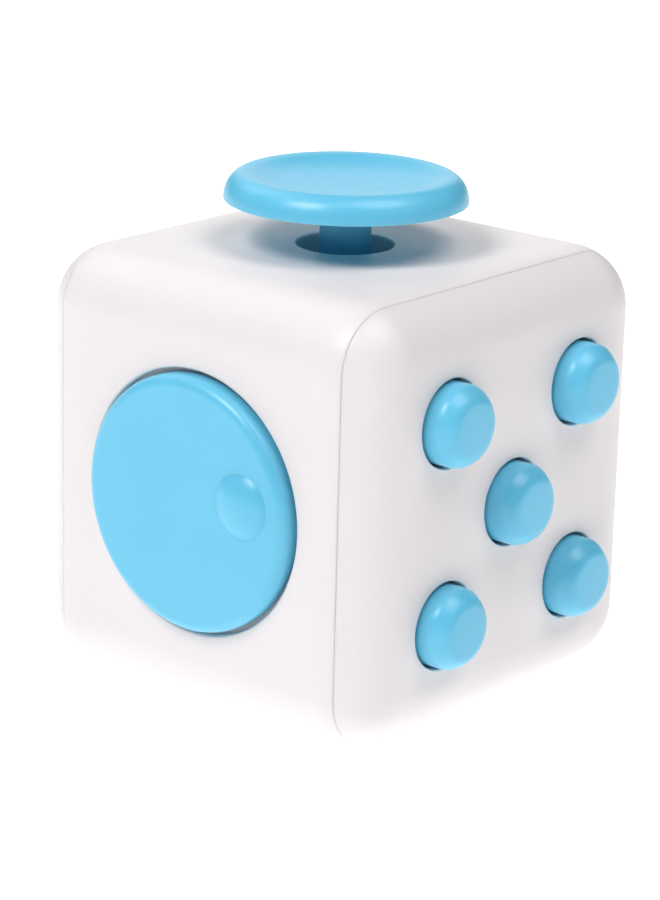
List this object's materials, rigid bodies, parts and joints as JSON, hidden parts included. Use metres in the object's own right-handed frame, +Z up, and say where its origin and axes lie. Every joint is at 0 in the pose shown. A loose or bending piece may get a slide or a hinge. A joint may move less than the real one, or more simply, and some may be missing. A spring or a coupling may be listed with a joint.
{
  "type": "fidget cube",
  "caption": "Fidget cube with push buttons, a gliding thumb stick, a spinning dial, a rocker switch, toothed wheels with a ball, and a thumb dish.",
  "frame": {"origin": "middle of the cube's base, which is the middle of the overall box's bottom face to within 0.3 mm", "axes": "+Z up out of the thumb stick's face; +X out of the button face; -Y out of the dial's face; +Y out of the rocker's face; -X out of the wheel and ball face"},
  "size_m": [0.0372, 0.0363, 0.0384],
  "materials": {
    "housing_plastic": "satin moulded white ABS",
    "control_plastic": "satin moulded sky-blue ABS",
    "inner_plastic": "natural grey moulded plastic",
    "screw_steel": "zinc-plated steel",
    "spring_steel": "bright spring steel",
    "wheel_metal": "satin plated metal",
    "ball_metal": "polished steel ball"
  },
  "bodies": {
    "casing": {"ball_dome": "spring_steel", "click_carrier": "inner_plastic", "click_cover": "housing_plastic", "click_screw_1": "screw_steel", "click_screw_2": "screw_steel", "click_screw_3": "screw_steel", "click_screw_4": "screw_steel", "dial_wave_washer": "spring_steel", "gear_axle": "screw_steel", "joystick_spring": "spring_steel", "joystick_spring_seat": "inner_plastic", "leaf_screw_1": "screw_steel", "leaf_screw_2": "screw_steel", "main_housing": "housing_plastic", "rocker_leaf_spring": "spring_steel", "rocker_pin": "screw_steel", "roll_carrier": "inner_plastic", "roll_cover": "housing_plastic", "roll_screw_1": "screw_steel", "roll_screw_2": "screw_steel", "seat_screw_1": "screw_steel", "seat_screw_2": "screw_steel", "silent_spring_lower_left": "spring_steel", "silent_spring_upper_right": "spring_steel", "snap_dome_center": "spring_steel", "snap_dome_lower_right": "spring_steel", "snap_dome_upper_left": "spring_steel"},
    "button_center": {"button_center": "control_plastic"},
    "button_upper_left": {"button_upper_left": "control_plastic"},
    "button_upper_right": {"button_upper_right": "control_plastic"},
    "button_lower_left": {"button_lower_left": "control_plastic"},
    "button_lower_right": {"button_lower_right": "control_plastic"},
    "stick_slider": {"joystick_washer": "inner_plastic"},
    "stick": {"joystick": "control_plastic", "joystick_flange": "control_plastic", "joystick_screw": "screw_steel"},
    "dial": {"spin_dial": "control_plastic", "dial_retainer": "inner_plastic", "dial_screw": "screw_steel"},
    "rocker": {"flip_rocker": "control_plastic"},
    "gear_1": {"roll_gear_1": "wheel_metal"},
    "gear_2": {"roll_gear_2": "wheel_metal"},
    "gear_3": {"roll_gear_3": "wheel_metal"},
    "ball_holder": {"ball_cup": "inner_plastic"},
    "ball": {"roll_ball": "ball_metal"}
  },
  "joints": [
    {"name": "press_center", "type": "slide", "parent": "casing", "child": "button_center", "axis": [-1, 0, 0], "range_m": [0, 0.0008], "stiffness_N_per_m": 1500, "springref_m": -0.0002, "deforming": ["snap_dome_center"]},
    {"name": "press_upper_left", "type": "slide", "parent": "casing", "child": "button_upper_left", "axis": [-1, 0, 0], "range_m": [0, 0.0008], "stiffness_N_per_m": 1500, "springref_m": -0.0002, "deforming": ["snap_dome_upper_left"]},
    {"name": "press_upper_right", "type": "slide", "parent": "casing", "child": "button_upper_right", "axis": [-1, 0, 0], "range_m": [0, 0.0008], "stiffness_N_per_m": 800, "springref_m": -0.0002, "deforming": ["silent_spring_upper_right"]},
    {"name": "press_lower_left", "type": "slide", "parent": "casing", "child": "button_lower_left", "axis": [-1, 0, 0], "range_m": [0, 0.0008], "stiffness_N_per_m": 800, "springref_m": -0.0002, "deforming": ["silent_spring_lower_left"]},
    {"name": "press_lower_right", "type": "slide", "parent": "casing", "child": "button_lower_right", "axis": [-1, 0, 0], "range_m": [0, 0.0008], "stiffness_N_per_m": 1500, "springref_m": -0.0002, "deforming": ["snap_dome_lower_right"]},
    {"name": "glide_x", "type": "slide", "parent": "casing", "child": "stick_slider", "axis": [1, 0, 0], "range_m": [-0.0012, 0.0012], "stiffness_N_per_m": 150, "deforming": ["joystick_spring"]},
    {"name": "glide_y", "type": "slide", "parent": "stick_slider", "child": "stick", "axis": [0, 1, 0], "range_m": [-0.0012, 0.0012], "stiffness_N_per_m": 150, "deforming": ["joystick_spring"]},
    {"name": "dial_spin", "type": "hinge", "parent": "casing", "child": "dial", "pos_m": [0, -0.0165, 0.0165], "axis": [0, -1, 0], "continuous": true},
    {"name": "rocker_flip", "type": "hinge", "parent": "casing", "child": "rocker", "pos_m": [0, 0.0133, 0.0165], "axis": [-1, 0, 0], "range_deg": [0, 14], "deforming": ["rocker_leaf_spring"]},
    {"name": "gear_1_spin", "type": "hinge", "parent": "casing", "child": "gear_1", "pos_m": [-0.0133, 0.0046, 0.011], "axis": [0, 1, 0], "continuous": true},
    {"name": "gear_2_spin", "type": "hinge", "parent": "casing", "child": "gear_2", "pos_m": [-0.0133, 0, 0.011], "axis": [0, 1, 0], "continuous": true},
    {"name": "gear_3_spin", "type": "hinge", "parent": "casing", "child": "gear_3", "pos_m": [-0.0133, -0.0046, 0.011], "axis": [0, 1, 0], "continuous": true},
    {"name": "ball_press", "type": "slide", "parent": "casing", "child": "ball_holder", "axis": [1, 0, 0], "range_m": [0, 0.0008], "stiffness_N_per_m": 1500, "springref_m": -0.0002, "deforming": ["ball_dome"]},
    {"name": "ball_roll", "type": "hinge", "parent": "ball_holder", "child": "ball", "pos_m": [-0.0149, 0, 0.023], "axis": [0, 1, 0], "continuous": true}
  ]
}
